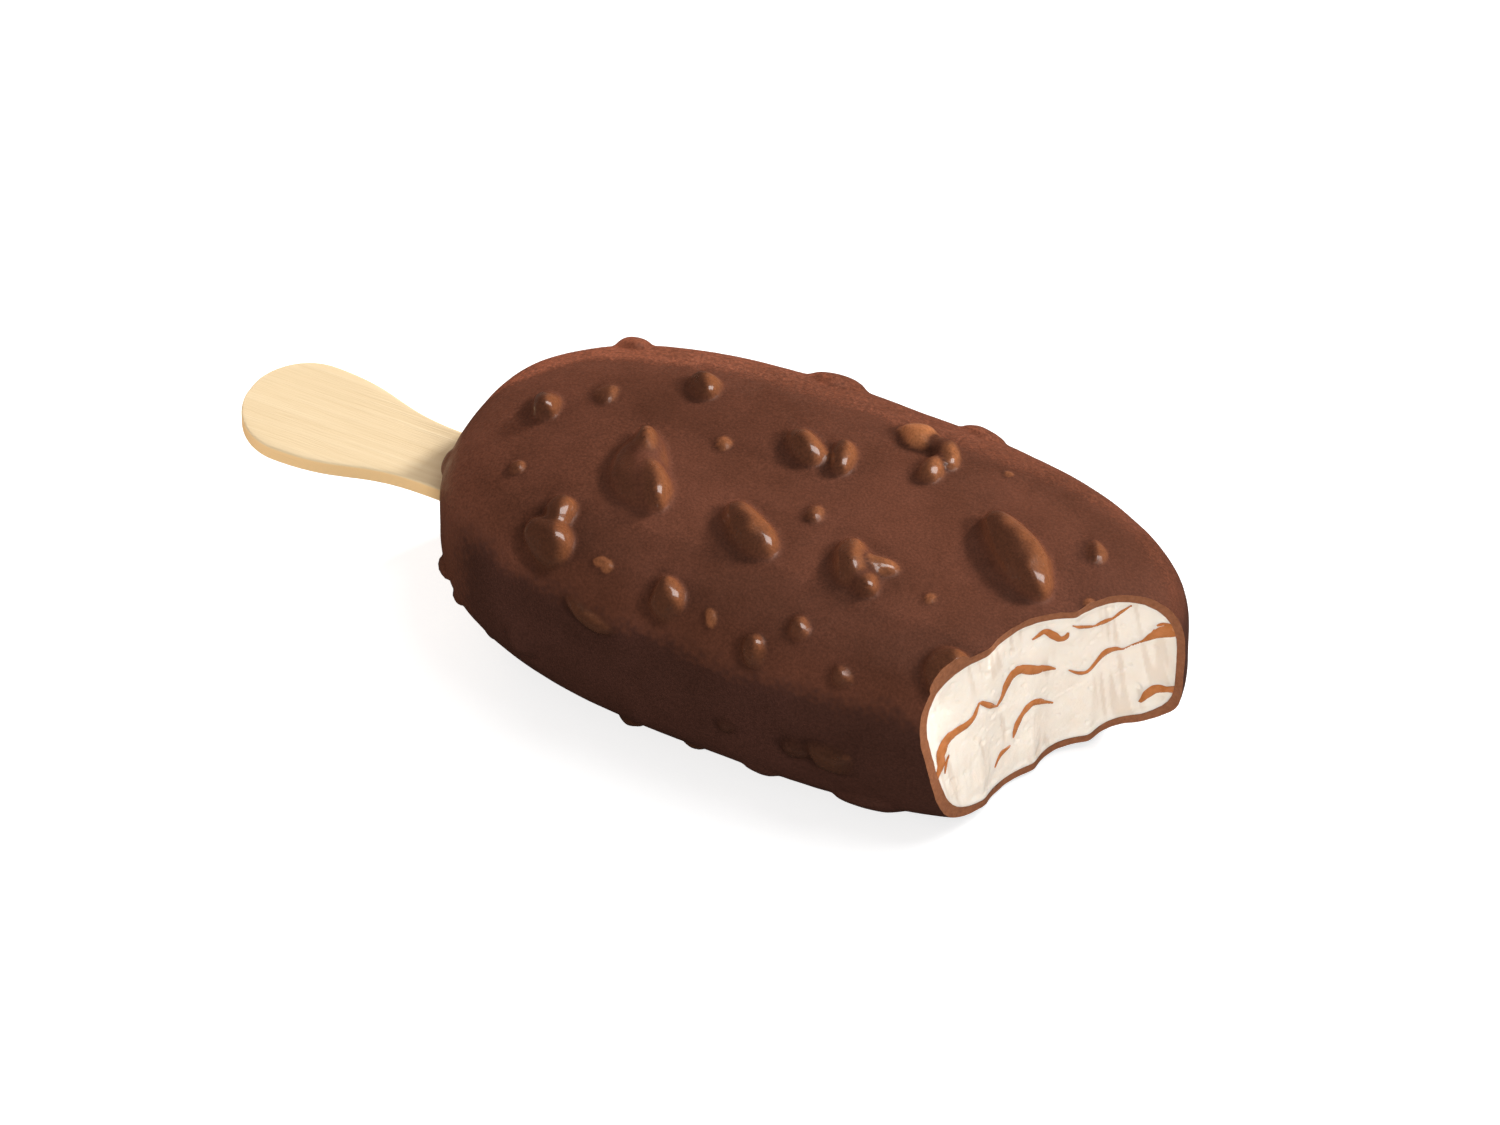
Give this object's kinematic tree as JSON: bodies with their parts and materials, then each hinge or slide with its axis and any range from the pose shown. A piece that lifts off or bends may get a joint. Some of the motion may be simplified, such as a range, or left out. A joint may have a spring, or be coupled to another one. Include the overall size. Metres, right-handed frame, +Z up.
{
  "type": "ice cream bar",
  "caption": "Chocolate-coated ice cream bar studded with nut pieces, on a wooden stick, lying flat with a bite out of its end that shows ice cream and caramel ripple.",
  "frame": {"origin": "on the flat underside, below the middle of the unbitten body", "axes": "+X along the bar from the stick to the bitten end, +Y to the unbitten side, +Z up"},
  "size_m": [0.1143, 0.0487, 0.0276],
  "materials": {
    "chocolate": "satin",
    "ice_cream": "matte",
    "caramel": "gloss",
    "stick_wood": "matte"
  },
  "bodies": {
    "root": {"chocolate_shell": "chocolate", "ice_cream": "ice_cream", "stick": "stick_wood", "caramel_long": "caramel", "caramel_right": "caramel", "caramel_upper_left": "caramel", "caramel_upper_right": "caramel", "caramel_lower": "caramel", "caramel_lower_left": "caramel", "caramel_corner": "caramel"}
  },
  "joints": []
}
